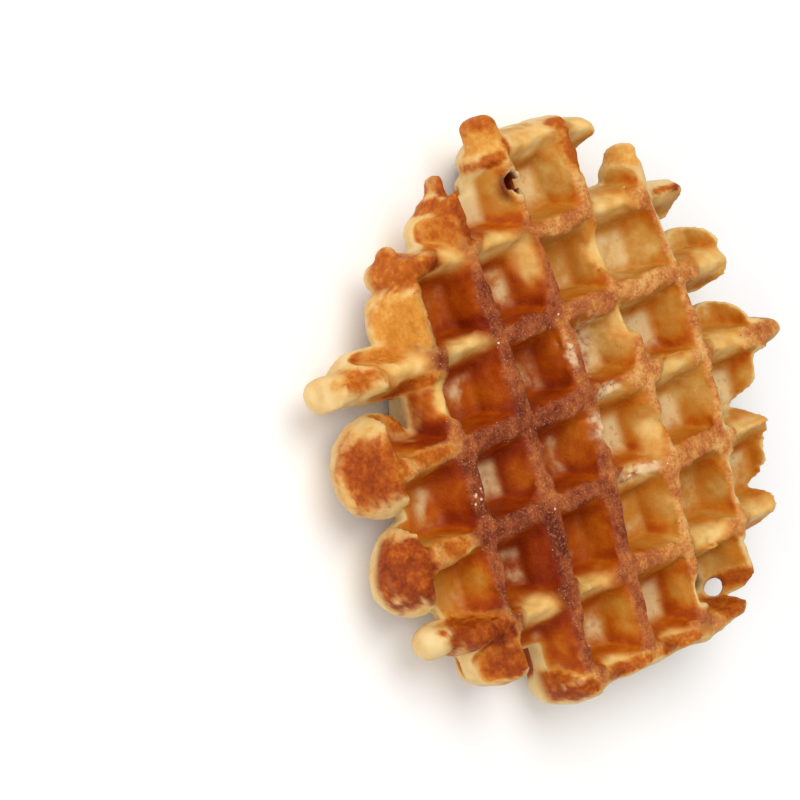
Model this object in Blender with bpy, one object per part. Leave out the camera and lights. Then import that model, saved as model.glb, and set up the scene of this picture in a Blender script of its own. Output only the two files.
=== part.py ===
# Sugar waffle: one flat baked waffle, lying on its back face, best face up.
# The solid is what an iron leaves of a ball of dough. The gap between the two closed
# plates sets the ridges and pockets, and the dough fills only part of that gap, so the
# edge ends in lobes where it ran out along the grooves.
import math

import bmesh
import bpy

# Iron, in metres
PITCH = 0.0150            # from one ridge to the next
THICKNESS = 0.0180        # ridge top on one face to ridge top on the other
POCKET_DEPTH = 0.0074     # ridge top down to the pocket's floor
RIDGE_TOP = 0.0031        # flat width on top of a ridge
POCKET_FLOOR = 0.0078     # width of the flat floor in a pocket
COLUMNS = 7               # ridges that run away from the viewer
ROWS = 7                  # ridges that run from side to side

# Dough, in pitches: the crossing (0, 0) is at the far left, the rows count toward the viewer
MAIN_CENTRE = (2.75, 2.95)
MAIN_REACH = (2.34, 2.87)
MAIN_FOOT = 0.92          # share of that reach at the bottom
FOOT_SHIFT = (0.50, 0.30)
DOUGH_HEIGHT = 0.80       # half the height of the dough before the plates flatten it
RUN_LEVEL = 0.55          # a run is widest this far below the top of the ridges
RUN_RISE = 0.80           # and would rise so far above that level
RUN_HANG = 0.52           # and hangs so far below it
MAIN_SIDES = 72
RUN_SIDES = 20
RUN_RINGS = 10

# Where the dough ran out along a groove: from column and row, to column and row, half width,
# and where they aren't the usual ones, how far it would rise above its widest level, how far
# it hangs below it, and how deep that level lies
RUNS = {
    "far_left_ridge": (1.60, 1.02, 1.14, 1.00, 0.20, 0.80, 0.30),
    "far_left_knob": (1.30, 0.92, 1.18, 0.82, 0.15, 0.20, 0.20, 0.42),
    "far_left_stub": (1.40, 1.05, 1.18, 1.09, 0.16, 0.22, 0.22, 0.52),
    "left_web": (1.10, 1.45, 1.06, 1.56, 0.36, 0.80, 0.32),
    "left_lobe_far": (0.80, 2.00, 0.37, 1.96, 0.31),
    "left_tip": (0.30, 2.02, -0.22, 2.01, 0.20, 0.30, 0.30),
    "left_lobe_middle": (0.26, 2.86, 0.16, 2.99, 0.51),
    "left_lobe_near": (0.36, 4.02, 0.25, 4.18, 0.46, 0.80, 0.50),
    "middle_left_web": (0.84, 3.45, 0.74, 3.55, 0.40, 0.80, 0.40),
    "near_left_web": (0.90, 4.45, 0.80, 4.50, 0.40, 0.80, 0.35),
    "near_left_knob": (0.36, 4.94, 0.27, 4.94, 0.20, 0.27, 0.27),
    "near_left_arm": (1.05, 4.96, 0.64, 4.96, 0.25, 0.80, 0.40),
    "near_left_ridge": (1.08, 5.08, 1.94, 5.11, 0.34, 0.80, 0.45),
    "near_left_leg": (1.00, 4.80, 1.00, 5.36, 0.32, 0.80, 0.45),
    "near_leg": (2.00, 5.00, 2.00, 5.96, 0.26),
    "near_edge": (2.10, 5.90, 4.00, 5.90, 0.27),
    "near_right_web": (3.83, 5.04, 3.79, 5.82, 0.22),
    "near_right_finger": (4.00, 5.96, 4.60, 5.85, 0.22),
    "near_right_ridge": (4.30, 5.00, 4.90, 5.00, 0.26, 0.80, 0.42),
    "near_right_lobe": (4.77, 5.03, 4.88, 5.55, 0.27, 0.60, 0.40),
    "right_finger_near": (4.84, 4.98, 5.50, 4.92, 0.30, 0.80, 0.42),
    "right_edge_near": (4.81, 3.06, 4.79, 4.88, 0.27),
    "right_finger_middle": (4.80, 4.04, 5.70, 4.08, 0.25, 0.72),
    "right_lobe_near": (5.64, 4.05, 5.62, 4.48, 0.29, 0.62),
    "right_finger": (4.80, 3.00, 6.20, 3.00, 0.24),
    "right_lobe_middle": (5.74, 2.79, 5.67, 3.40, 0.33, 0.62),
    "right_edge_far": (4.83, 1.12, 4.85, 2.94, 0.27),
    "right_finger_far": (4.80, 2.00, 5.72, 2.02, 0.28, 0.74),
    "right_lobe_far": (5.76, 2.00, 5.73, 1.77, 0.27, 0.62),
    "far_right_ridge": (4.22, 1.03, 4.84, 1.01, 0.28, 0.80, 0.45),
    "far_right_finger": (4.90, 1.04, 5.60, 1.11, 0.24, 0.50, 0.42),
    "far_right_lobe": (4.96, 0.98, 4.97, 0.68, 0.20, 0.35, 0.30, 0.33),
    "far_right_tip": (4.98, 0.74, 5.07, 0.46, 0.14, 0.28, 0.24, 0.33),
    "far_finger": (4.00, 0.04, 4.38, 0.10, 0.25, 0.64),
    "far_knob": (4.00, 0.20, 4.02, 0.02, 0.24),
    "far_edge": (3.25, 0.06, 4.00, 0.06, 0.29, 0.56),
    "far_web": (3.06, 0.44, 3.94, 0.47, 0.36, 0.80, 0.50),
    "far_lobe": (3.02, 0.20, 2.99, -0.28, 0.16, 0.34, 0.20, 0.42),
    "far_stub": (3.40, 0.02, 3.28, 0.03, 0.20, 0.70, 0.22),
    "far_nub": (3.06, 0.15, 2.94, 0.13, 0.20, 0.50, 0.30, 0.45),
    "far_left_finger": (2.04, 0.90, 2.05, 0.46, 0.18, 0.32, 0.28, 0.42),
    "far_left_tip": (2.06, 0.52, 2.11, 0.16, 0.09, 0.16, 0.14, 0.40),
    "far_left_lobe": (2.00, 0.95, 2.00, 0.74, 0.34, 0.80, 0.30),
}

# Places that the dough never reached: column and row at the top, half width, half length,
# and by how many columns and rows the gap leans over for each pitch of depth
HOLES = {
    "far_hole": (3.01, 0.41, 0.085, 0.14, 0.0, 0.0),
    "near_hole": (4.22, 5.58, 0.17, 0.11, 1.05, 0.22),
}

# The waffle sagged a little sideways when it was lifted off the iron
SAG = 0.075 * PITCH
SAG_GROWTH = 0.25 / PITCH  # it grows by this share for each metre to the right
SAG_LENGTH = 6.0 * PITCH

SMALLEST_EDGE = 0.00005   # shorter edges that the cuts leave are closed up

CRUST_COLOUR = (0.56, 0.24, 0.06, 1.0)
CRUST_ROUGHNESS = 0.55


def place(column, row):
    """Crossing of a column and a row, in metres about the middle of the grid."""
    return (column - (COLUMNS - 1) / 2) * PITCH, ((ROWS - 1) / 2 - row) * PITCH


def new_object(name, mesh_data):
    mesh = bpy.data.meshes.new(name)
    mesh_data.to_mesh(mesh)
    mesh_data.free()
    obj = bpy.data.objects.new(name, mesh)
    bpy.context.scene.collection.objects.link(obj)
    return obj


def edges_along(first, last):
    """Lines of the relief along one axis: both edges of each ridge and of each floor."""
    lines = []
    for index in range(first, last + 1):
        lines.append(("top", index * PITCH - RIDGE_TOP / 2))
        lines.append(("top", index * PITCH + RIDGE_TOP / 2))
        if index < last:
            lines.append(("floor", (index + 0.5) * PITCH - POCKET_FLOOR / 2))
            lines.append(("floor", (index + 0.5) * PITCH + POCKET_FLOOR / 2))
    return lines


def add_face_relief(mesh_data, lines_x, lines_y, top, floor):
    """One plate's imprint: flat ridges round sloping pockets, with the plate's border at the left."""
    points = {}

    def point(x, y, height):
        key = (x, y, height)
        if key not in points:
            points[key] = mesh_data.verts.new(key)
        return points[key]

    def ring(x_low, x_high, y_low, y_high, height):
        corners = ((x_low, y_low), (x_high, y_low), (x_high, y_high), (x_low, y_high))
        return [point(x, y, height) for x, y in corners]

    tops_x = [i for i, line in enumerate(lines_x) if line[0] == "top"]
    tops_y = [j for j, line in enumerate(lines_y) if line[0] == "top"]
    for i, i_next in zip(tops_x, tops_x[1:]):
        for j, j_next in zip(tops_y, tops_y[1:]):
            outer = ring(lines_x[i][1], lines_x[i_next][1], lines_y[j][1], lines_y[j_next][1], top)
            if i_next == i + 1 or j_next == j + 1:
                mesh_data.faces.new(outer)
                continue
            inner = ring(lines_x[i + 1][1], lines_x[i + 2][1],
                         lines_y[j + 1][1], lines_y[j + 2][1], floor)
            mesh_data.faces.new(inner)
            for k in range(4):
                k_next = (k + 1) % 4
                mesh_data.faces.new([outer[k], outer[k_next], inner[k_next], inner[k]])
    draft = (PITCH - RIDGE_TOP - POCKET_FLOOR) / 2
    border = lines_x[0][1]
    stations = ((border, top), (border - draft, floor), (border - 2 * PITCH, floor))
    for (x, height), (x_next, height_next) in zip(stations, stations[1:]):
        for j, j_next in zip(tops_y, tops_y[1:]):
            y, y_next = lines_y[j][1], lines_y[j_next][1]
            mesh_data.faces.new([point(x, y, height), point(x, y_next, height),
                                 point(x_next, y_next, height_next), point(x_next, y, height_next)])


def iron_gap():
    """The space between the closed plates, two cells wider than the grid but for the border."""
    mesh_data = bmesh.new()
    half = (COLUMNS - 1) // 2
    lines_x = edges_along(-half, half + 2)
    lines_y = edges_along(-half - 2, half + 2)
    add_face_relief(mesh_data, lines_x, lines_y, THICKNESS, THICKNESS - POCKET_DEPTH)
    add_face_relief(mesh_data, lines_x, lines_y, 0.0, POCKET_DEPTH)
    rim = [edge for edge in mesh_data.edges if edge.is_boundary]
    bmesh.ops.bridge_loops(mesh_data, edges=rim)
    bmesh.ops.recalc_face_normals(mesh_data, faces=mesh_data.faces)
    return new_object("iron_gap", mesh_data)


def main_dough():
    """The middle of the dough: an oval disc that fills the iron from plate to plate."""
    mesh_data = bmesh.new()
    bmesh.ops.create_cone(mesh_data, cap_ends=True, segments=MAIN_SIDES, radius1=MAIN_FOOT,
                          radius2=1.0, depth=2.0 * DOUGH_HEIGHT * PITCH)
    centre = place(*MAIN_CENTRE)
    foot_centre = place(MAIN_CENTRE[0] + FOOT_SHIFT[0], MAIN_CENTRE[1] + FOOT_SHIFT[1])
    for vert in mesh_data.verts:
        centre_x, centre_y = foot_centre if vert.co.z < 0 else centre
        vert.co.x = centre_x + vert.co.x * MAIN_REACH[0] * PITCH
        vert.co.y = centre_y + vert.co.y * MAIN_REACH[1] * PITCH
        vert.co.z += THICKNESS / 2
    return new_object("main_dough", mesh_data)


def dough_run(name, column, row, column_end, row_end, half_width,
              rise=RUN_RISE, hang=RUN_HANG, level=RUN_LEVEL):
    """Dough along a groove: an egg-shaped ball drawn out from one place to another."""
    mesh_data = bmesh.new()
    bmesh.ops.create_uvsphere(mesh_data, u_segments=RUN_SIDES, v_segments=RUN_RINGS, radius=1.0)
    start_x, start_y = place(column, row)
    end_x, end_y = place(column_end, row_end)
    step_x, step_y = end_x - start_x, end_y - start_y
    for vert in mesh_data.verts:
        ahead = vert.co.x * step_x + vert.co.y * step_y > 0
        base_x, base_y = (end_x, end_y) if ahead else (start_x, start_y)
        reach = rise if vert.co.z > 0 else hang
        vert.co.x = base_x + vert.co.x * half_width * PITCH
        vert.co.y = base_y + vert.co.y * half_width * PITCH
        vert.co.z = THICKNESS - level * PITCH + vert.co.z * reach * PITCH
    return new_object(name, mesh_data)


def hole(name, column, row, half_width, half_length, lean_columns, lean_rows):
    mesh_data = bmesh.new()
    bmesh.ops.create_cone(mesh_data, cap_ends=True, segments=RUN_SIDES, radius1=1.0, radius2=1.0,
                          depth=2.0 * THICKNESS)
    centre_x, centre_y = place(column, row)
    for vert in mesh_data.verts:
        vert.co.z += THICKNESS / 2
        depth = THICKNESS - vert.co.z
        vert.co.x = centre_x + vert.co.x * half_width * PITCH + depth * lean_columns
        vert.co.y = centre_y + vert.co.y * half_length * PITCH - depth * lean_rows
    return new_object(name, mesh_data)


def join(obj, others):
    """Joins an object with a list of others, which are then removed."""
    group = bpy.data.collections.new("others")
    bpy.context.scene.collection.children.link(group)
    for other in others:
        group.objects.link(other)
    boolean = obj.modifiers.new("Join", "BOOLEAN")
    boolean.operation = "UNION"
    boolean.solver = "EXACT"
    boolean.operand_type = "COLLECTION"
    boolean.collection = group
    apply_modifier(obj, boolean)
    for other in others:
        bpy.data.objects.remove(other)
    bpy.data.collections.remove(group)


def cut(obj, operation, tool):
    """Cuts an object with one tool, by the solver that keeps this many-sided body closed."""
    boolean = obj.modifiers.new("Cut", "BOOLEAN")
    boolean.operation = operation
    boolean.solver = "MANIFOLD"
    boolean.object = tool
    apply_modifier(obj, boolean)
    bpy.data.objects.remove(tool)


def apply_modifier(obj, modifier):
    evaluated = obj.evaluated_get(bpy.context.evaluated_depsgraph_get())
    mesh = bpy.data.meshes.new_from_object(evaluated)
    obj.modifiers.remove(modifier)
    obj.data = mesh


def largest_body(mesh_data):
    """Drops loose scraps and keeps the body with the most faces."""
    left = set(mesh_data.faces)
    bodies = []
    while left:
        body = set()
        front = [left.pop()]
        while front:
            face = front.pop()
            body.add(face)
            for edge in face.edges:
                for other in edge.link_faces:
                    if other in left:
                        left.remove(other)
                        front.append(other)
        bodies.append(body)
    bodies.sort(key=len)
    scraps = [face for body in bodies[:-1] for face in body]
    bmesh.ops.delete(mesh_data, geom=scraps, context="FACES")


def finish_shape(obj):
    """Cleans the mesh, bends it by the sag and puts its lowest level and middle at the origin."""
    mesh_data = bmesh.new()
    mesh_data.from_mesh(obj.data)
    bmesh.ops.dissolve_degenerate(mesh_data, edges=mesh_data.edges, dist=SMALLEST_EDGE)
    largest_body(mesh_data)
    for vert in mesh_data.verts:
        growth = 1 + SAG_GROWTH * vert.co.x
        vert.co.x += SAG * growth * math.cos(2 * math.pi * vert.co.y / SAG_LENGTH)
    xs = [vert.co.x for vert in mesh_data.verts]
    ys = [vert.co.y for vert in mesh_data.verts]
    zs = [vert.co.z for vert in mesh_data.verts]
    middle = ((min(xs) + max(xs)) / 2, (min(ys) + max(ys)) / 2, min(zs))
    for vert in mesh_data.verts:
        vert.co.x -= middle[0]
        vert.co.y -= middle[1]
        vert.co.z -= middle[2]
    bmesh.ops.triangulate(mesh_data, faces=mesh_data.faces)
    mesh_data.to_mesh(obj.data)
    mesh_data.free()


def crust_material():
    material = bpy.data.materials.new("baked_crust")
    material.use_nodes = True
    shader = material.node_tree.nodes["Principled BSDF"]
    shader.inputs["Base Color"].default_value = CRUST_COLOUR
    shader.inputs["Roughness"].default_value = CRUST_ROUGHNESS
    shader.inputs["Metallic"].default_value = 0.0
    return material


for old in list(bpy.data.objects):
    bpy.data.objects.remove(old)

waffle = main_dough()
join(waffle, [dough_run(name, *run) for name, run in RUNS.items()])
cut(waffle, "INTERSECT", iron_gap())
for name, size in HOLES.items():
    cut(waffle, "DIFFERENCE", hole(name, *size))
finish_shape(waffle)
waffle.name = "waffle"
waffle.data.name = "waffle"
waffle.data.materials.clear()
waffle.data.materials.append(crust_material())
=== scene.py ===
# Looks for a sugar waffle: the baked dough with its crust, the crumbs on it, and the studio.
import math
from functools import reduce

import bpy
from mathutils import Matrix, Vector


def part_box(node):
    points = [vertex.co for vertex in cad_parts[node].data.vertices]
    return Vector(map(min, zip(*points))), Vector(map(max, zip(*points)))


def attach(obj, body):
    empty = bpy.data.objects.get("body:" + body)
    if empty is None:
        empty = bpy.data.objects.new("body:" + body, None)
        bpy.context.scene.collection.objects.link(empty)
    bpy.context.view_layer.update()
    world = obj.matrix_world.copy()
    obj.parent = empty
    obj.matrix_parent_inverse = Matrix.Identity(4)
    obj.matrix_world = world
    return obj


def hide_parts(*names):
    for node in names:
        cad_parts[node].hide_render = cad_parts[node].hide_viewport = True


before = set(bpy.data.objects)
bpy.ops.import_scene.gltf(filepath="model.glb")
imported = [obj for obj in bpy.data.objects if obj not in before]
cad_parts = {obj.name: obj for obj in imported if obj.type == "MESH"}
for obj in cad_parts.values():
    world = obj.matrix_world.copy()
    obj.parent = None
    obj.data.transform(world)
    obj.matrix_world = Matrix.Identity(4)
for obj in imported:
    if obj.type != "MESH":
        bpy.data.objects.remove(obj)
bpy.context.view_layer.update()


# Waffle dough
# A thick yeast dough pressed between two hot plates. The plates' studs leave the pockets, and
# the dough stops short of the plates' edge, so it ends in lobes that ran out along the grooves.
# It browned where it lay on the iron and stayed pale where it hung free.
PITCH = 0.0150            # from one ridge to the next
THICKNESS = 0.0180
POCKET_DEPTH = 0.0074
RIDGE_TOP = 0.0031        # width of a ridge's top, and of a pocket's floor
POCKET_FLOOR = 0.0078
COLUMNS = 7
ROWS = 7
MAIN_CENTRE = (2.75, 2.95)   # column and row of the main dough's middle
MAIN_REACH = (2.34, 2.87)    # its half sizes at the top, in pitches
MAIN_FOOT = 0.92             # how much of them is left at its foot
FOOT_SHIFT = (0.50, 0.30)    # and how many columns and rows the foot lies over
DOUGH_HEIGHT = 0.80          # half the height that it leans over, in pitches
RUN_LEVEL = 0.55          # how deep a run of dough is widest, in pitches from the top
RUN_RISE = 0.80           # how far it bulges up from there, and how far it hangs down
RUN_HANG = 0.52
SAG = 0.075 * PITCH       # how far the columns bend, how that grows to the right, and the
SAG_GROWTH = 0.25 / PITCH    # length of one whole bend
SAG_LENGTH = 6.0 * PITCH
GRID_MIDDLE = (0.001238, 0.001650)   # the outline's middle, from the grid's
VOXEL = 0.00063
MARGIN = 0.0020           # of empty space round the dough
CORNER = 0.0010           # how far the dough's corners are rounded off
SLACK = 0.0040            # and how much further where it didn't fill the iron
FILLET = 0.0009           # where two runs of dough meet
LIP = 0.0008              # where a free side meets a pressed one
GRIP = 0.0009             # over this distance from the iron the crust fades to crumb
WOBBLE = 0.0011           # how far the free sides swell and shrink
UNEVEN = 0.00030          # how far the pressed faces do
DRIFT = 0.0019            # how far the ridges wander from their straight lines
WAVER = 0.0022            # how far their width comes and goes
RAGGED = 0.0030           # and how far their top edges do so in short nicks
RAGGED_REACH = 0.0034     # down to this depth
NARROW = 0.0004           # how much narrower the far ridges are on each side
HOTTEST = (1.92, 3.26)    # column and row where the iron was hottest
HOT_REACH = 0.030         # and how far from there the waffle is pale
DRIFT_SCALE = 95.0        # how finely the ridges drift,
SWELL_SCALE = 320.0       # the free sides swell,
RAGGED_SCALE = 420.0      # the edges are nicked,
SPONGE_SCALE = 820.0      # the torn places open up,
UNEVEN_SCALE = 900.0      # and the pressed faces rise and fall

# Dough along the grooves: from column and row, to column and row, half width, and where they
# aren't the usual ones, the rise, the hang and how deep the widest level lies
RUNS = (
    (1.60, 1.02, 1.14, 1.00, 0.20, 0.80, 0.30), (1.30, 0.92, 1.18, 0.82, 0.15, 0.20, 0.20, 0.42),
    (1.40, 1.05, 1.18, 1.09, 0.16, 0.22, 0.22, 0.52), (1.10, 1.45, 1.06, 1.56, 0.36, 0.80, 0.32),
    (0.80, 2.00, 0.37, 1.96, 0.31), (0.30, 2.02, -0.22, 2.01, 0.20, 0.30, 0.30),
    (0.26, 2.86, 0.16, 2.99, 0.51), (0.36, 4.02, 0.25, 4.18, 0.46, 0.80, 0.50),
    (0.84, 3.45, 0.74, 3.55, 0.40, 0.80, 0.40), (0.90, 4.45, 0.80, 4.50, 0.40, 0.80, 0.35),
    (0.36, 4.94, 0.27, 4.94, 0.20, 0.27, 0.27), (1.05, 4.96, 0.64, 4.96, 0.25, 0.80, 0.40),
    (1.08, 5.08, 1.94, 5.11, 0.34, 0.80, 0.45), (1.00, 4.80, 1.00, 5.36, 0.32, 0.80, 0.45),
    (2.00, 5.00, 2.00, 5.96, 0.26), (2.10, 5.90, 4.00, 5.90, 0.27),
    (3.83, 5.04, 3.79, 5.82, 0.22), (4.00, 5.96, 4.60, 5.85, 0.22),
    (4.30, 5.00, 4.90, 5.00, 0.26, 0.80, 0.42), (4.77, 5.03, 4.88, 5.55, 0.27, 0.60, 0.40),
    (4.84, 4.98, 5.50, 4.92, 0.30, 0.80, 0.42), (4.81, 3.06, 4.79, 4.88, 0.27),
    (4.80, 4.04, 5.70, 4.08, 0.25, 0.72), (5.64, 4.05, 5.62, 4.48, 0.29, 0.62),
    (4.80, 3.00, 6.20, 3.00, 0.24), (5.74, 2.79, 5.67, 3.40, 0.33, 0.62),
    (4.83, 1.12, 4.85, 2.94, 0.27), (4.80, 2.00, 5.72, 2.02, 0.28, 0.74),
    (5.76, 2.00, 5.73, 1.77, 0.27, 0.62), (4.22, 1.03, 4.84, 1.01, 0.28, 0.80, 0.45),
    (4.90, 1.04, 5.60, 1.11, 0.24, 0.50, 0.42), (4.96, 0.98, 4.97, 0.68, 0.20, 0.35, 0.30, 0.33),
    (4.98, 0.74, 5.07, 0.46, 0.14, 0.28, 0.24, 0.33), (4.00, 0.04, 4.38, 0.10, 0.25, 0.64),
    (4.00, 0.20, 4.02, 0.02, 0.24), (3.25, 0.06, 4.00, 0.06, 0.29, 0.56),
    (3.06, 0.44, 3.94, 0.47, 0.36, 0.80, 0.50), (3.02, 0.20, 2.99, -0.28, 0.16, 0.34, 0.20, 0.42),
    (3.40, 0.02, 3.28, 0.03, 0.20, 0.70, 0.22), (3.06, 0.15, 2.94, 0.13, 0.20, 0.50, 0.30, 0.45),
    (2.04, 0.90, 2.05, 0.46, 0.18, 0.32, 0.28, 0.42),
    (2.06, 0.52, 2.11, 0.16, 0.09, 0.16, 0.14, 0.40), (2.00, 0.95, 2.00, 0.74, 0.34, 0.80, 0.30),
)

# Gaps that the dough never closed: column and row at the top, half width, half length, and how
# many columns and rows they lean over for each pitch of depth
GAPS = ((3.01, 0.41, 0.085, 0.14, 0.0, 0.0), (4.22, 5.58, 0.17, 0.11, 1.05, 0.22))

# Stretches of ridge that the dough didn't fill, so they stay round and pale: column, row,
# half length across and along, in pitches
UNFILLED = (
    (0.60, 1.97, 0.36, 0.22), (1.52, 2.03, 0.36, 0.20), (1.52, 5.03, 0.32, 0.22),
    (2.42, 5.02, 0.32, 0.20), (3.44, 4.06, 0.34, 0.20), (4.04, 1.48, 0.18, 0.36),
    (3.46, 0.04, 0.46, 0.30), (4.50, 3.05, 0.30, 0.18), (5.70, 2.02, 0.40, 0.24),
    (5.42, 3.02, 0.30, 0.24), (5.56, 4.02, 0.40, 0.24), (5.46, 5.00, 0.34, 0.26),
    (1.66, 1.06, 0.28, 0.20), (2.50, 1.06, 0.38, 0.22), (5.40, 1.08, 0.36, 0.22),
    (4.30, 0.06, 0.24, 0.18), (4.40, 1.02, 0.38, 0.22), (4.44, 4.97, 0.34, 0.18),
    (3.42, 3.06, 0.30, 0.16), (2.90, 1.25, 0.14, 0.30), (3.98, 2.30, 0.14, 0.26),
    (3.90, 3.70, 0.16, 0.32), (1.02, 2.44, 0.14, 0.28), (3.50, 5.98, 0.24, 0.16),
    (2.50, 5.98, 0.26, 0.16),
)
UNFILLED_DROP = 0.0008    # how far they stay below the others
UNFILLED_REACH = 0.0060   # and how deep down that shows

# Faces of the lobes that lay on the iron: column, row, half size across and along, and how
# brown each one is
FACES = (
    # The first face, at the left edge, is browner partly from the iron and partly as painted shade.
    (-0.11, 2.94, 0.30, 0.46, 0.60), (-0.06, 4.06, 0.28, 0.48, 0.72), (0.02, 1.96, 0.20, 0.17, 0.46),
    (0.70, 2.20, 0.32, 0.09, 0.55), (1.08, 0.95, 0.30, 0.30, 0.50), (1.40, 1.00, 0.26, 0.10, 0.64),
    (0.88, 1.50, 0.20, 0.40, 0.30), (0.62, 1.80, 0.25, 0.12, 0.40), (2.10, 0.30, 0.14, 0.30, 0.58),
    (2.06, 0.62, 0.16, 0.36, 0.66), (1.84, 0.70, 0.09, 0.20, 0.44), (2.95, -0.14, 0.22, 0.30, 0.30),
    (2.93, -0.34, 0.15, 0.13, 0.48), (2.86, 0.10, 0.15, 0.10, 0.56), (3.08, 0.04, 0.08, 0.16, 0.60),
    (3.92, -0.10, 0.17, 0.09, 0.56), (4.03, 0.24, 0.13, 0.30, 0.52), (4.98, 0.50, 0.15, 0.18, 0.24),
    (5.60, 1.02, 0.16, 0.06, 0.60), (5.34, 1.00, 0.26, 0.05, 0.48), (0.56, 4.98, 0.28, 0.24, 0.68),
    (0.84, 5.06, 0.22, 0.20, 0.78), (0.92, 5.42, 0.16, 0.24, 0.64), (1.86, 6.04, 0.18, 0.13, 0.70),
    (4.90, 5.64, 0.24, 0.12, 0.56), (4.50, 5.88, 0.30, 0.16, 0.56), (0.26, 4.86, 0.06, 0.05, 0.50),
    (0.55, 2.98, 0.32, 0.09, 0.56), (0.52, 4.00, 0.24, 0.12, 0.56), (2.62, 6.02, 0.40, 0.10, 0.60),
    (3.52, 6.02, 0.44, 0.10, 0.56), (0.60, 2.48, 0.18, 0.24, 0.50), (1.92, 0.42, 0.13, 0.16, 0.56),
    (1.74, 5.86, 0.09, 0.14, 0.60),
)

# Where the skin stayed on the iron and the porous inside shows: column, row and half sizes
TORN = ((3.48, 2.46, 0.24, 0.28), (2.95, 2.44, 0.05, 0.18), (3.37, 3.00, 0.22, 0.09),
        (3.05, 3.34, 0.10, 0.16), (3.48, 4.00, 0.36, 0.08))
PORE_DEPTH = 0.0008


class Flow:
    """A socket in a node tree. Sums written on it add Math nodes to the same tree."""

    def __init__(self, socket):
        self.socket = socket

    @property
    def tree(self):
        return self.socket.id_data

    def math(self, operation, *others):
        return node(self.tree, "ShaderNodeMath", {"operation": operation}, (self,) + others)

    def __add__(self, other):
        return self.math("ADD", other)

    __radd__ = __add__

    def __sub__(self, other):
        return self.math("SUBTRACT", other)

    def __rsub__(self, other):
        return node(self.tree, "ShaderNodeMath", {"operation": "SUBTRACT"}, (other, self))

    def __mul__(self, other):
        return self.math("MULTIPLY", other)

    __rmul__ = __mul__

    def __truediv__(self, other):
        return self.math("DIVIDE", other)

    def __rtruediv__(self, other):
        return node(self.tree, "ShaderNodeMath", {"operation": "DIVIDE"}, (other, self))

    def __neg__(self):
        return self.math("MULTIPLY", -1.0)

    def __abs__(self):
        return self.math("ABSOLUTE")

    def __pow__(self, power):
        return self.math("POWER", power)


def feed(made, values):
    """Gives a node's sockets their values or links, by order or by name. A list is several links
    to one socket."""
    for key, value in values.items() if isinstance(values, dict) else enumerate(values):
        for single in value if isinstance(value, list) else [value]:
            if isinstance(single, Flow):
                single.tree.links.new(single.socket, made.inputs[key])
            else:
                made.inputs[key].default_value = single


def node(tree, kind, settings=None, values=(), output=0):
    """Adds a node: its settings first, then its sockets. It gives back one of the outputs, or
    the list of them where output is None."""
    made = tree.nodes.new(kind)
    for name, setting in (settings or {}).items():
        if name == "stops":
            for extra in range(len(setting) - 2):
                made.color_ramp.elements.new(0.5)
            for stop, (at, colour) in zip(made.color_ramp.elements, setting):
                stop.position = at
                stop.color = colour
        else:
            setattr(made, name, setting)
    feed(made, values)
    if output is None:
        return [Flow(socket) for socket in made.outputs]
    return Flow(made.outputs[output])


def least(a, b, blend=None):
    """The smaller of two, or with a blend, of two that melt into each other."""
    if blend is None:
        return a.math("MINIMUM", b)
    return a.math("SMOOTH_MIN", b, blend)


def most(a, b, blend=None):
    """The larger of two, in the same way."""
    if blend is None:
        return a.math("MAXIMUM", b)
    return a.math("SMOOTH_MAX", b, blend)


def ramp(value, low, high):
    """Rises smoothly from 0 to 1 while the value goes from low to high."""
    return node(value.tree, "ShaderNodeMapRange", {"interpolation_type": "SMOOTHSTEP"},
                {"Value": value, "From Min": low, "From Max": high})


def length(*sides):
    """How long a line is that goes this far along each axis."""
    total = sides[0] * sides[0]
    for side in sides[1:]:
        total = total + side * side
    return total.math("SQRT")


def noise(vector, scale, detail, output=0):
    """Soft noise from 0 to 1, or with output 1 three of them as a colour."""
    return node(vector.tree, "ShaderNodeTexNoise", None,
                {"Vector": vector, "Scale": scale, "Detail": detail}, output)


def split(vector):
    """The three numbers of a vector or colour."""
    return node(vector.tree, "ShaderNodeSeparateXYZ", None, (vector,), output=None)


def place(column, row):
    """Where a column and a row cross, across and along, from the middle of the grid."""
    return (column - (COLUMNS - 1) / 2) * PITCH, ((ROWS - 1) / 2 - row) * PITCH


def near_line(value, pitch):
    """Distance to the nearest of a family of lines one pitch apart."""
    folded = value / pitch
    return abs(folded - folded.math("ROUND")) * pitch


def iron_relief(x, y, depth, sizes, spare, narrow):
    """How deep a point lies inside the dough side of one plate, in metres. The depth counts
    down from the ridge tops. Ridges run both ways, but none runs past the first column."""
    first_column = place(0, 0)[0]
    draft = (sizes["Pitch"] - sizes["Ridge top"] - sizes["Pocket floor"]) * 0.5
    run = draft / sizes["Pocket depth"]
    steep = (run * run + 1.0) ** -0.5
    half = sizes["Ridge top"] * 0.5 + depth * run + spare
    beyond = most(first_column - x, 0.0)
    across = most(near_line(most(x, first_column), sizes["Pitch"]), beyond)
    along = near_line(y, sizes["Pitch"]) + beyond * 4.0
    in_column = (half - narrow - across) * steep
    in_row = (half - along) * steep
    under_floor = depth - sizes["Pocket depth"]
    ridge = most(in_column, in_row, CORNER)
    return most(ridge, under_floor, CORNER * 1.4)


def run_distance(x, y, z, run):
    """How deep a point lies in one run of dough: an egg-shaped ball drawn out along a line."""
    column, row, column_end, row_end, half_width = run[:5]
    rise, hang, level = run[5:] + (RUN_RISE, RUN_HANG, RUN_LEVEL)[len(run[5:]):]
    start, end = place(column, row), place(column_end, row_end)
    step = (end[0] - start[0], end[1] - start[1])
    span = step[0] ** 2 + step[1] ** 2
    from_x, from_y = x - start[0], y - start[1]
    share = (from_x * step[0] + from_y * step[1]) / span
    share = least(most(share, 0.0), 1.0)
    above = z - (THICKNESS - level * PITCH)
    tall = most(above / (rise * PITCH), above / (-hang * PITCH))
    half = half_width * PITCH
    reach = length((from_x - share * step[0]) / half, (from_y - share * step[1]) / half, tall)
    return (1.0 - reach) * half


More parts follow.
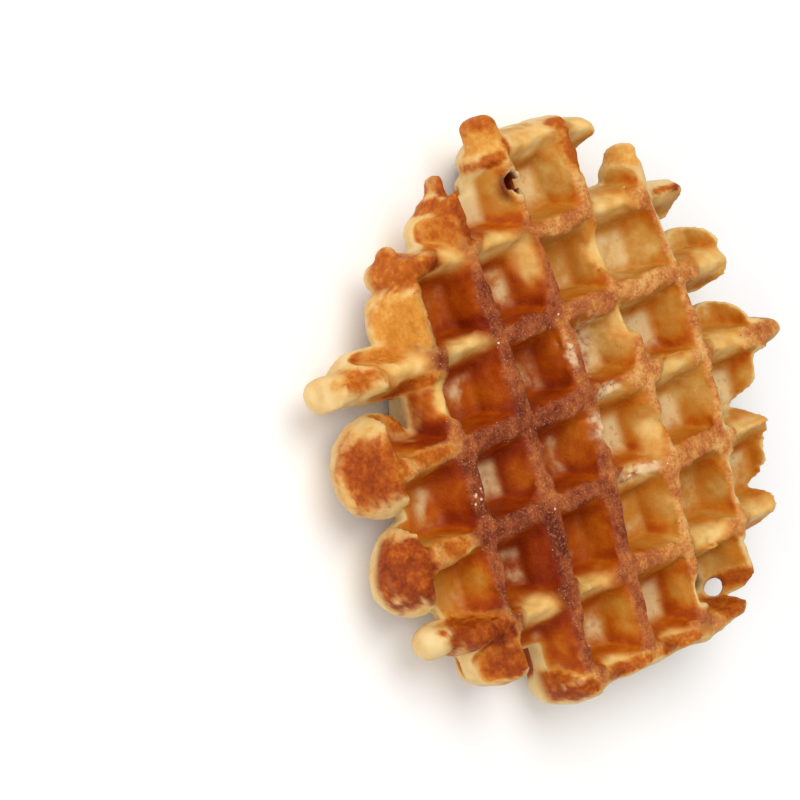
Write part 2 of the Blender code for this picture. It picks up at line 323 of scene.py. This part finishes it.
def main_distance(x, y, z):
    """How deep a point lies in the main dough, a thick oval disc that leans a little."""
    centre = place(*MAIN_CENTRE)
    foot = place(MAIN_CENTRE[0] + FOOT_SHIFT[0], MAIN_CENTRE[1] + FOOT_SHIFT[1])
    height = DOUGH_HEIGHT * PITCH
    down = (THICKNESS / 2 + height - z) / (2 * height)
    taper = 1.0 - down * (1 - MAIN_FOOT)
    reach_x, reach_y = MAIN_REACH[0] * PITCH, MAIN_REACH[1] * PITCH
    side = (x - centre[0] - down * (foot[0] - centre[0])) / (taper * reach_x)
    front = (y - centre[1] - down * (foot[1] - centre[1])) / (taper * reach_y)
    return (1.0 - length(side, front)) * taper * min(reach_x, reach_y)


def from_spot(x, y, column, row, half_across, half_along):
    """0 in the middle of a spot and 1 on its edge."""
    at_x, at_y = place(column, row)
    return length((x - at_x) / (half_across * PITCH), (y - at_y) / (half_along * PITCH))


def new_tree(name, inputs, output):
    """An empty tree with named inputs and one named output, and what arrives at each input."""
    tree = bpy.data.node_groups.new(name, "GeometryNodeTree")
    for label, kind in inputs.items():
        tree.interface.new_socket(label, in_out="INPUT", socket_type=kind)
    tree.interface.new_socket(output, in_out="OUTPUT", socket_type="NodeSocketGeometry")
    return tree, dict(zip(inputs, node(tree, "NodeGroupInput", output=None)))


def pressed_piece(name, tree, values):
    """Runs a tree on an empty mesh and turns what it makes into a plain piece of the waffle."""
    source = bpy.data.objects.new(name + "_source", bpy.data.meshes.new(name + "_source"))
    bpy.context.scene.collection.objects.link(source)
    modifier = source.modifiers.new(name, "NODES")
    modifier.node_group = tree
    for item in tree.interface.items_tree:
        if item.in_out == "INPUT":
            modifier[item.identifier] = values[item.name]
    evaluated = source.evaluated_get(bpy.context.evaluated_depsgraph_get())
    piece = bpy.data.objects.new(name, bpy.data.meshes.new_from_object(evaluated))
    piece.data.name = name
    bpy.data.objects.remove(source)
    bpy.context.scene.collection.objects.link(piece)
    return piece


dough_sizes = {"Pitch": PITCH, "Thickness": THICKNESS, "Pocket depth": POCKET_DEPTH,
               "Ridge top": RIDGE_TOP, "Pocket floor": POCKET_FLOOR, "Voxel": VOXEL, "Seed": 0.37}
dough_inputs = dict.fromkeys(dough_sizes, "NodeSocketFloat")
dough_inputs["Crust"] = "NodeSocketMaterial"
dough_tree, sizes = new_tree("waffle_dough", dough_inputs, "Waffle")

box_low, box_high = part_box("waffle")
low_corner = tuple(side - MARGIN for side in box_low)
high_corner = tuple(side + MARGIN for side in box_high)

position = node(dough_tree, "GeometryNodeInputPosition")
seed_step = node(dough_tree, "ShaderNodeCombineXYZ", None, (sizes["Seed"],) * 3)
seeded = node(dough_tree, "ShaderNodeVectorMath", {"operation": "ADD"}, (position, seed_step))
waffle_x, waffle_y, height = split(position)
top_plane = sizes["Thickness"] - height

# The grid's middle isn't quite the outline's, and the sag bends it, so both are undone
world_x = waffle_x + GRID_MIDDLE[0]
grid_y = waffle_y + GRID_MIDDLE[1]
bend = (grid_y * (2 * math.pi / SAG_LENGTH)).math("COSINE") * SAG
grid_x = (world_x - bend) / (1.0 + bend * SAG_GROWTH)

# What the plates leave, and what the dough fills of it
drift_x, drift_y, waver = split(noise(seeded, DRIFT_SCALE, 1.0, output=1))
iron_x = grid_x + (drift_x - 0.5) * DRIFT
iron_y = grid_y + (drift_y - 0.5) * DRIFT
nicks = noise(seeded, RAGGED_SCALE, 3.0) - 0.5
fine = noise(seeded, UNEVEN_SCALE, 3.0) - 0.5
near_top = ramp(least(top_plane, height), RAGGED_REACH, 0.0004)
spare = (waver - 0.5) * WAVER + nicks * near_top * RAGGED

hot_x, hot_y = place(*HOTTEST)
hot = ramp(length(grid_x - hot_x, (grid_y - hot_y) * 0.55), HOT_REACH, 0.012)
narrow = (1.0 - hot) * NARROW

bare = reduce(most, [ramp(from_spot(grid_x, grid_y, *spot) + nicks * 0.4, 1.25, 0.55)
                     for spot in UNFILLED])
bare = bare * ramp(top_plane, UNFILLED_REACH, UNFILLED_REACH / 2)
porous = reduce(most, [ramp(from_spot(grid_x, grid_y, *spot) + nicks * 1.4, 1.30, 0.80)
                       for spot in TORN])
sponge = noise(seeded, SPONGE_SCALE, 1.0)
drop = bare * UNFILLED_DROP + fine * UNEVEN
drop = drop + porous * ramp(sponge, 0.44, 0.62) * PORE_DEPTH

under_top = iron_relief(iron_x, iron_y, top_plane, sizes, spare, narrow)
over_back = iron_relief(iron_x, iron_y, height, sizes, spare, narrow)
pressed_top = least(top_plane, under_top, bare * SLACK + CORNER) - drop
pressed_back = least(height, over_back, CORNER) - fine * UNEVEN
iron = least(pressed_top, pressed_back)

dough = main_distance(grid_x, grid_y, height)
for run in RUNS:
    dough = most(dough, run_distance(grid_x, grid_y, height, run), FILLET)
swell = noise(seeded, SWELL_SCALE, 2.0)
dough = dough + (swell - 0.5) * WOBBLE
for column, row, half_width, half_length, lean_columns, lean_rows in GAPS:
    away = from_spot(grid_x - top_plane * lean_columns, grid_y + top_plane * lean_rows,
                     column, row, half_width, half_length) + nicks * 0.5
    dough = least(dough, (away - 1.0) * (min(half_width, half_length) * PITCH), LIP * 0.5)
body = least(iron, dough, LIP)

# From the field, in millimetres and raised by 1, to a skin
cubes = [(high - low) / sizes["Voxel"] for low, high in zip(low_corner, high_corner)]
cube = node(dough_tree, "GeometryNodeVolumeCube", None, {
    "Density": body * 1000.0 + 1.0, "Background": 0.0, "Min": low_corner, "Max": high_corner,
    "Resolution X": cubes[0], "Resolution Y": cubes[1], "Resolution Z": cubes[2]})
skin = node(dough_tree, "GeometryNodeVolumeToMesh", {"resolution_mode": "GRID"},
            {"Volume": cube, "Threshold": 1.0, "Adaptivity": 0.0})
skin = node(dough_tree, "GeometryNodeSetShadeSmooth", None, {"Geometry": skin})

# How firmly each place was pressed, and whether it is a ridge's top or a pocket's floor
face_depth = least(top_plane, height)
pressed = ramp(dough - iron, -GRIP * 0.2, GRIP)
pressed = pressed * ramp(grid_x, place(-0.25, 0)[0], place(0.0, 0)[0])
ridge_level = ramp(face_depth, 0.0010, 0.0002)
floor_level = ramp(face_depth, POCKET_DEPTH - 0.0020, POCKET_DEPTH - 0.0002)
between = least(ramp(near_line(iron_x, PITCH) / PITCH, 0.14, 0.30),
                ramp(near_line(iron_y, PITCH) / PITCH, 0.16, 0.36))
inner = ramp(grid_x, place(0.35, 0)[0], place(0.60, 0)[0])

# How each pocket differs from the next, the pale oval and the brown foot of its walls, and their
# darker head
cell = node(dough_tree, "ShaderNodeCombineXYZ", None,
            ((iron_x / PITCH).math("FLOOR"), (iron_y / PITCH).math("FLOOR"), 0.0))
cell_tone, cell_shift, cell_size = split(
    node(dough_tree, "ShaderNodeTexWhiteNoise", {"noise_dimensions": "2D"}, (cell,), output=1))
cell_edge = ramp(least(near_line(iron_x, PITCH), near_line(iron_y, PITCH)) / PITCH, 0.02, 0.12)
up_cell = (iron_y / PITCH).math("FRACT")
wide = 0.75 + cell_size * 0.5
oval = length((up_cell - 0.42 - cell_shift * 0.18) / (wide * 0.26),
              (face_depth / POCKET_DEPTH - 0.36 - cell_size * 0.24) / (wide * 0.42))
oval = ramp(oval + nicks * 1.2, 1.35, 0.35)
foot = ramp(up_cell, 0.38, 0.22) * ramp(up_cell, 0.04, 0.14)
# The head, at the top of each pocket's walls, is darker partly from bake and partly as painted
# shade.
head_bake_and_shade = ramp(up_cell, 0.62, 0.80) * ramp(up_cell, 0.96, 0.88)

# How brown the faces of the lobes are
faces = [ramp(from_spot(grid_x, grid_y, *spot[:4]) + nicks + fine * 0.6, 1.40, 0.60)
         for spot in FACES]
touched = reduce(most, faces) * ramp(height, THICKNESS * 0.35, THICKNESS * 0.55)
face_bake = reduce(most, [face * spot[4] for face, spot in zip(faces, FACES)])

# Which walls face the near and the far rim, and the painted shade deep inside the first gap
facing_y = split(node(dough_tree, "GeometryNodeInputNormal"))[1]
near_side = ramp(-facing_y, 0.45, 0.85)
# Walls facing the far rim are made paler below: painted light, as if lit from the far side.
far_side = ramp(facing_y, 0.35, 0.80)
# Painted shade: the first gap darkens below half a millimetre from the top.
in_gap = ramp(from_spot(grid_x, grid_y, *GAPS[0][:4]), 2.0, 1.3) * ramp(top_plane, 0.0005, 0.0020)

measures = {
    "pressed": pressed, "hot": hot, "ridge": ridge_level,
    # Each pocket's head keeps the pale floor back, and the stored foot carries the head too: partly
    # bake, partly painted shade.
    "floor": floor_level * between * (1.0 - head_bake_and_shade * 0.7) * inner, "bare": bare, "oval": oval,
    "foot": foot + head_bake_and_shade * 0.4, "cell_tone": (cell_tone - 0.5) * cell_edge, "touched": touched,
    "face_bake": face_bake, "near_side": near_side, "far_side": far_side,
    "in_gap": in_gap, "porous": porous, "sponge": ramp(sponge, 0.40, 0.66)}
for name, value in measures.items():
    skin = node(dough_tree, "GeometryNodeStoreNamedAttribute",
                {"data_type": "FLOAT", "domain": "POINT"},
                {"Geometry": skin, "Name": name, "Value": value})
skin = node(dough_tree, "GeometryNodeRealizeInstances", None, (skin,))
skin = node(dough_tree, "GeometryNodeSetMaterial", None,
            {"Geometry": skin, "Material": sizes["Crust"]})
node(dough_tree, "NodeGroupOutput", None, {"Waffle": skin}, output=None)

# The crust: browner the longer it lay on the iron, grainy on the ridges, pale on the floors.
# Colours are as a screen shows them, and a stage is its place along the bake and its colour.
WALL_STAGES = (
    (0.00, 222, 184, 114), (0.15, 200, 152, 76), (0.30, 190, 128, 48), (0.42, 188, 114, 28),
    (0.55, 180, 90, 10), (0.68, 164, 70, 4), (0.82, 146, 52, 2), (1.00, 122, 34, 1))
RIDGE_STAGES = (
    (0.00, 218, 184, 124), (0.28, 206, 146, 80), (0.48, 184, 110, 52), (0.66, 154, 80, 39),
    (0.82, 126, 54, 24), (1.00, 90, 32, 12))
RIDGE_FLECK = (190, 120, 82)
FLOOR_SKIN = (222, 196, 146)
FLOOR_PORE = (178, 124, 72)
UNFILLED_STAGES = (
    (0.00, 230, 196, 128), (0.22, 216, 166, 88), (0.45, 192, 112, 40), (0.70, 166, 80, 26))
FACE_STAGES = (
    (0.10, 222, 178, 100), (0.30, 204, 136, 50), (0.50, 176, 90, 18), (0.70, 146, 60, 8),
    (1.00, 96, 30, 4))
CRUMB_STAGES = ((0.00, 202, 160, 94), (0.40, 216, 184, 126), (1.00, 226, 204, 156))
# Painted shade: a dark brown deep inside the first gap.
GAP_SHADE = (110, 34, 8)
SPONGE_SKIN = (226, 200, 158)
SPONGE_PORE = (178, 104, 52)
PATCH_SCALE = 75.0        # how fine the crust's patterns are, from the widest
BLOTCH_SCALE = 260.0
MOTTLE_SCALE = 700.0
PORE_SCALE = 720.0
GRAIN_SCALE = 1500.0
FINE_GRAIN_SCALE = 2600.0
GRAIN_HEIGHT = 0.00028
LIGHT_REACH = 0.0015      # how far light spreads under the skin
LIGHT_SPREAD = (1.0, 0.5, 0.25)


def finish(name):
    """A new material and the shader that its patterns feed."""
    material = bpy.data.materials.new(name)
    material.use_nodes = True
    return material, material.node_tree.nodes["Principled BSDF"]


def mix(factor, first, second):
    """Blends two colours."""
    return node(factor.tree, "ShaderNodeMix", {"data_type": "RGBA"},
                {0: factor, 6: first, 7: second}, output=2)


def seen(colour):
    """A colour as a screen shows it, turned into the linear values that the shader takes."""
    values = [channel / 255 for channel in colour]
    return tuple(v / 12.92 if v <= 0.04045 else ((v + 0.055) / 1.055) ** 2.4
                 for v in values) + (1.0,)


def shades(value, stages):
    """Colours along a value, from their stages."""
    stops = [(stage[0], seen(stage[1:])) for stage in stages]
    return node(value.tree, "ShaderNodeValToRGB", {"stops": stops}, (value,))


crust, crust_shader = finish("waffle_crust")
on_waffle = node(crust.node_tree, "ShaderNodeTexCoord", output="Object")
stored = {name: node(crust.node_tree, "ShaderNodeAttribute", {"attribute_name": name}, output=2)
          for name in measures}
across, upward = split(on_waffle)[:2]
patches = noise(on_waffle, PATCH_SCALE, 2.0) - 0.5
blotches = noise(on_waffle, BLOTCH_SCALE, 3.0) - 0.5
mottle = noise(on_waffle, MOTTLE_SCALE, 2.0) - 0.5
grain = noise(on_waffle, GRAIN_SCALE, 3.0)
fine_grain = noise(on_waffle, FINE_GRAIN_SCALE, 2.0)
open_pores = ramp(noise(on_waffle, PORE_SCALE, 1.0), 0.58, 0.72)
held = stored["pressed"]

# Walls of the pockets
bake = 0.39 + stored["hot"] * 0.44 + patches * 0.8 + blotches * 0.45
# The crust also darkens towards the waffle's right edge and its near edge.
bake = bake + ramp(across, 0.034, 0.042) * 0.04 + ramp(upward, -0.030, -0.042) * 0.12
# The foot's darkening includes the head's share, which is partly painted shade.
# The walls facing the far rim are lightened here as painted light.
wall = bake + stored["foot"] * 0.16 - stored["near_side"] * 0.16 - stored["far_side"] * 0.18
wall = wall + stored["cell_tone"] * 0.16 + mottle * 0.20 + (grain - 0.5) * 0.12
thin = 0.5 + blotches * 0.5 + patches * 0.5 + stored["cell_tone"] * 0.30 - stored["hot"] * 0.02
pale_floor = stored["floor"] * ramp(thin, 0.34, 0.58)
spared = stored["oval"] * (0.20 - stored["hot"] * 0.04 + stored["cell_tone"] * 0.20)
wall = (wall - spared - pale_floor * 0.34) * (held * 0.8 + 0.2)
wall_colour = shades(wall, WALL_STAGES)

# Ridge tops, which have a dry, grainy skin
toast = bake * 0.80 + 0.12 + (grain - 0.5) * 0.46 + mottle * 0.5 + blotches * 0.5
toast = (toast + (fine_grain - 0.5) * 0.36) * (held * 0.8 + 0.2)
fleck = ramp(grain, 0.50, 0.66) * ramp(toast, 0.46, 0.74)
ridge_colour = mix(fleck * 0.38, shades(toast, RIDGE_STAGES), seen(RIDGE_FLECK))
crust_colour = mix(stored["ridge"], wall_colour, ridge_colour)

# Floors of the pockets, where the crust is thin and full of pores
floor_colour = mix(open_pores * 0.45, seen(FLOOR_SKIN), seen(FLOOR_PORE))
crust_colour = mix(pale_floor * pale_floor * 0.85, crust_colour, floor_colour)

# Stretches that the iron hardly touched, and faces of the lobes
unfilled_colour = shades(0.46 - stored["bare"] * 0.30 + blotches * 0.8, UNFILLED_STAGES)
crust_colour = mix(stored["bare"], crust_colour, unfilled_colour)
freckles = (grain - 0.5) * 0.5 + mottle * 0.6 + blotches * 0.7
face_tone = stored["face_bake"] + freckles * (stored["face_bake"] * 1.1 + 0.10)
crust_colour = mix(stored["touched"], crust_colour, shades(face_tone, FACE_STAGES))

# Crumb that no iron touched, the painted shade inside the first gap, and the sponge where skin tore
# off
crumb_colour = shades(blotches * 1.4 + 0.4, CRUMB_STAGES)
crust_colour = mix(most(ramp(held, 0.0, 0.6), stored["touched"]), crumb_colour, crust_colour)
crust_colour = mix(stored["in_gap"], crust_colour, seen(GAP_SHADE))
sponge_colour = mix(stored["sponge"], seen(SPONGE_SKIN), seen(SPONGE_PORE))
crust_colour = mix(stored["porous"] * 0.8, crust_colour, sponge_colour)

relief = grain * (0.35 + stored["ridge"] * 0.65) + fine_grain * 0.4 - open_pores * pale_floor * 0.5
feed(crust_shader, {
    "Base Color": crust_colour,
    "Roughness": 0.52 + (grain - 0.5) * 0.25 + stored["ridge"] * 0.12,
    "Normal": node(crust.node_tree, "ShaderNodeBump", None,
                   {"Strength": 0.6, "Distance": GRAIN_HEIGHT, "Height": relief}),
    "Subsurface Weight": 0.12, "Subsurface Radius": LIGHT_SPREAD,
    "Subsurface Scale": LIGHT_REACH, "Specular IOR Level": 0.12})

waffle = pressed_piece("waffle_dough", dough_tree, dict(dough_sizes, Crust=crust))
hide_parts("waffle")
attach(waffle, "root")


# Crumbs and sugar
# Dry crumbs of crust that cling to the ridges, and a few grains of pearl sugar that melted
# against the iron and set again as glassy lumps.
CRUMBS_PER_AREA = 1500000.0   # to the square metre of a ridge's top
CRUMB_SIZE = 0.00013
SUGAR_SIZE = 0.00036
DENT_SCALE = 2600.0           # how fine the dents in a crumb or grain are
DENT_DEPTH = 1.1              # and how deep, against its size
CRUMB_TONE_SCALE = 1800.0     # how fine the crumbs' brown is, its patches and its gloss
CRUMB_PATCH_SCALE = 160.0
CRUMB_GLOSS_SCALE = 900.0
CRUMB_CRUST_STAGES = ((0.36, 100, 42, 20), (0.50, 164, 90, 50), (0.64, 206, 146, 100))
SUGAR_TONE_SCALE = 2200.0
SUGAR_GLOSS_SCALE = 1500.0
SUGAR_STAGES = ((0.30, 176, 96, 48), (0.52, 222, 176, 138), (0.70, 246, 232, 216))

# Grains of sugar: column, row and size against the usual
GRAINS = (
    (0.96, 3.55, 1.3), (1.02, 3.61, 1.0), (0.93, 3.64, 0.8), (1.05, 3.50, 0.8), (3.42, 2.97, 1.1),
    (3.35, 3.03, 0.8), (2.04, 4.02, 0.8), (2.93, 1.98, 0.7), (3.94, 4.03, 0.7), (1.94, 2.06, 0.8),
    (2.06, 5.60, 0.7), (4.96, 2.05, 0.7),
)


def pressed_grains(name, inputs, points_from, roundness):
    """A tree that sets a small lump on each point that points_from makes from the waffle."""
    tree, sockets = new_tree(name, inputs, "Grains")
    carrier = node(tree, "GeometryNodeObjectInfo", {"transform_space": "ORIGINAL"},
                   {"Object": sockets["Waffle"]}, output="Geometry")
    points, facing_up, stretch = points_from(tree, sockets, carrier)
    lump = node(tree, "GeometryNodeMeshIcoSphere", None,
                {"Radius": sockets["Size"], "Subdivisions": roundness})
    dents = noise(node(tree, "GeometryNodeInputPosition"), DENT_SCALE, 1.0, output=1)
    shift = node(tree, "ShaderNodeVectorMath", {"operation": "SUBTRACT"}, (dents, (0.5, 0.5, 0.5)))
    shift = node(tree, "ShaderNodeVectorMath", {"operation": "SCALE"},
                 {0: shift, "Scale": sockets["Size"] * DENT_DEPTH})
    lump = node(tree, "GeometryNodeSetPosition", None, {"Geometry": lump, "Offset": shift})
    spin = node(tree, "FunctionNodeRandomValue", {"data_type": "FLOAT"},
                {2: 0.0, 3: 2 * math.pi, "Seed": sockets["Seed"]}, output=1)
    upright = node(tree, "FunctionNodeAlignRotationToVector", {"axis": "Z"}, {"Vector": facing_up})
    about_itself = node(tree, "FunctionNodeAxisAngleToRotation", None,
                        {"Axis": (0.0, 0.0, 1.0), "Angle": spin})
    turned = node(tree, "FunctionNodeRotateRotation", {"rotation_space": "LOCAL"},
                  {"Rotation": upright, "Rotate By": about_itself})
    placed = node(tree, "GeometryNodeInstanceOnPoints", None, {
        "Points": points, "Instance": lump, "Rotation": turned, "Scale": stretch})
    placed = node(tree, "GeometryNodeRealizeInstances", None, (placed,))
    placed = node(tree, "GeometryNodeSetShadeSmooth", None, {"Geometry": placed})
    placed = node(tree, "GeometryNodeSetMaterial", None,
                  {"Geometry": placed, "Material": sockets["Finish"]})
    node(tree, "NodeGroupOutput", None, {"Grains": placed}, output=None)
    return tree


def crumb_points(tree, sockets, carrier):
    """Crumbs lie where the crust is a ridge's top, thicker where the iron was hotter, and not
    on the back or on the faces of the lobes."""
    on_ridge, on_hot, on_iron, on_lobe = [
        node(tree, "GeometryNodeInputNamedAttribute", {"data_type": "FLOAT"}, (name,))
        for name in ("ridge", "hot", "pressed", "touched")]
    height = split(node(tree, "GeometryNodeInputPosition"))[2]
    share = on_ridge * (0.25 + on_hot * 0.75) * on_iron * (1.0 - on_lobe)
    share = share * ramp(height, THICKNESS * 0.4, THICKNESS * 0.6)
    points, facing_up = node(tree, "GeometryNodeDistributePointsOnFaces", None, {
        "Mesh": carrier, "Density": share * sockets["Per area"], "Seed": sockets["Seed"]},
        output=None)[:2]
    size = node(tree, "FunctionNodeRandomValue", {"data_type": "FLOAT"},
                {2: 0.5, 3: 1.25, "Seed": 3}, output=1)
    stretch = node(tree, "ShaderNodeCombineXYZ", None, (size, size * 0.7, size * 0.6))
    return points, facing_up, stretch


def grain_points(tree, sockets, carrier):
    """Each grain of sugar hangs over its place and is dropped straight down onto the waffle."""
    hung = []
    for column, row, size in GRAINS:
        at_x, at_y = place(column, row)
        bent = SAG * (1 + SAG_GROWTH * at_x) * math.cos(2 * math.pi * at_y / SAG_LENGTH)
        start = (at_x + bent - GRID_MIDDLE[0], at_y - GRID_MIDDLE[1], THICKNESS * 2)
        hung.append(node(tree, "GeometryNodePoints", None,
                         {"Count": 1, "Position": start, "Radius": size}))
    landing = node(tree, "GeometryNodeRaycast", None,
                   {"Target Geometry": carrier, "Ray Direction": (0.0, 0.0, -1.0)},
                   output="Hit Position")
    landed = node(tree, "GeometryNodeSetPosition", None, {
        "Geometry": node(tree, "GeometryNodeJoinGeometry", None, (hung,)), "Position": landing})
    size = node(tree, "GeometryNodeInputRadius")
    facing_up = node(tree, "ShaderNodeCombineXYZ", None, (0.0, 0.0, 1.0))
    stretch = node(tree, "ShaderNodeCombineXYZ", None, (size, size * 0.8, size * 0.7))
    return landed, facing_up, stretch


crumb_finish, crumb_shader = finish("crumb_crust")
on_crumb = node(crumb_finish.node_tree, "ShaderNodeTexCoord", output="Object")
crumb_tone = noise(on_crumb, CRUMB_TONE_SCALE, 1.0)
crumb_tone = crumb_tone + (noise(on_crumb, CRUMB_PATCH_SCALE, 1.0) - 0.5) * 0.6
feed(crumb_shader, {
    "Base Color": shades(crumb_tone, CRUMB_CRUST_STAGES),
    "Roughness": 0.55 + (noise(on_crumb, CRUMB_GLOSS_SCALE, 1.0) - 0.5) * 0.3,
    "Specular IOR Level": 0.2})

sugar_finish, sugar_shader = finish("melted_sugar")
on_sugar = node(sugar_finish.node_tree, "ShaderNodeTexCoord", output="Object")
feed(sugar_shader, {
    "Base Color": shades(noise(on_sugar, SUGAR_TONE_SCALE, 2.0), SUGAR_STAGES),
    "Roughness": 0.14 + noise(on_sugar, SUGAR_GLOSS_SCALE, 1.0) * 0.16,
    "Coat Weight": 0.5})

grain_inputs = {"Waffle": "NodeSocketObject", "Size": "NodeSocketFloat",
                "Seed": "NodeSocketInt", "Finish": "NodeSocketMaterial"}
crumb_tree = pressed_grains("ridge_crumbs", dict(grain_inputs, **{"Per area": "NodeSocketFloat"}),
                            crumb_points, 1)
crumbs = pressed_piece("ridge_crumbs", crumb_tree, {
    "Waffle": waffle, "Size": CRUMB_SIZE, "Seed": 11, "Finish": crumb_finish,
    "Per area": CRUMBS_PER_AREA})
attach(crumbs, "root")

sugar_tree = pressed_grains("sugar_grains", grain_inputs, grain_points, 2)
sugar = pressed_piece("sugar_grains", sugar_tree, {
    "Waffle": waffle, "Size": SUGAR_SIZE, "Seed": 5, "Finish": sugar_finish})
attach(sugar, "root")


# Table
# A wide, plain, pale sheet under the waffle.
TABLE_REACH = 3.0
TABLE_WHITE = (0.96, 0.96, 0.965, 1.0)

table_mesh = bpy.data.meshes.new("table")
corners = [(x * TABLE_REACH, y * TABLE_REACH, 0) for x, y in ((-1, -1), (1, -1), (1, 1), (-1, 1))]
table_mesh.from_pydata(corners, [], [(0, 1, 2, 3)])
table = bpy.data.objects.new("table", table_mesh)
bpy.context.scene.collection.objects.link(table)
table_finish, table_shader = finish("table_white")
feed(table_shader, {"Base Color": TABLE_WHITE, "Roughness": 0.8})
table_mesh.materials.append(table_finish)


# Studio light
# A large soft light over the far left and a pale surround that fills the shadows.
SURROUND_STRENGTH = 0.55


def soft_light(name, stands_at, size, watts, colour):
    """A round lamp that faces the waffle."""
    lamp = bpy.data.lights.new(name, "AREA")
    lamp.shape = "DISK"
    lamp.size = size
    lamp.energy = watts
    lamp.color = colour
    holder = bpy.data.objects.new(name, lamp)
    holder.location = stands_at
    holder.rotation_euler = Vector(stands_at).to_track_quat("Z", "Y").to_euler()
    bpy.context.scene.collection.objects.link(holder)


soft_light("window_light", (-0.14, 0.45, 0.88), 0.9, 6.0, (1.0, 0.98, 0.95))
soft_light("fill_light", (-0.80, 0.05, 0.45), 0.8, 3.6, (1.0, 0.99, 0.98))

surround = bpy.data.worlds.new("surround")
surround.use_nodes = True
feed(surround.node_tree.nodes["Background"],
     {"Color": (1.0, 1.0, 1.0, 1.0), "Strength": SURROUND_STRENGTH})
bpy.context.scene.world = surround
bpy.context.scene.view_settings.view_transform = "Standard"


# Camera
# It looks down on the left of the waffle with a long lens, rolled as the waffle leaned.
VIEW_RIGHT = Vector((0.71277, -0.28403, 0.64132))
VIEW_UP = Vector((0.25663, 0.95655, 0.13841))
VIEW_BACK = Vector((-0.65277, 0.06593, 0.75469))
VIEW_FROM = Vector((-23.6716, 2.8366, 24.2864)) * PITCH   # from the grid's middle
LENS = 135.0
SENSOR = 36.0
NEAREST = 0.05

camera_data = bpy.data.cameras.new("camera")
camera_data.lens = LENS
camera_data.sensor_width = SENSOR
camera_data.clip_start = NEAREST
camera = bpy.data.objects.new("camera", camera_data)
camera.location = VIEW_FROM + Vector((-GRID_MIDDLE[0], -GRID_MIDDLE[1], THICKNESS))
camera.rotation_euler = Matrix((VIEW_RIGHT, VIEW_UP, VIEW_BACK)).transposed().to_euler()
bpy.context.scene.collection.objects.link(camera)
bpy.context.scene.camera = camera
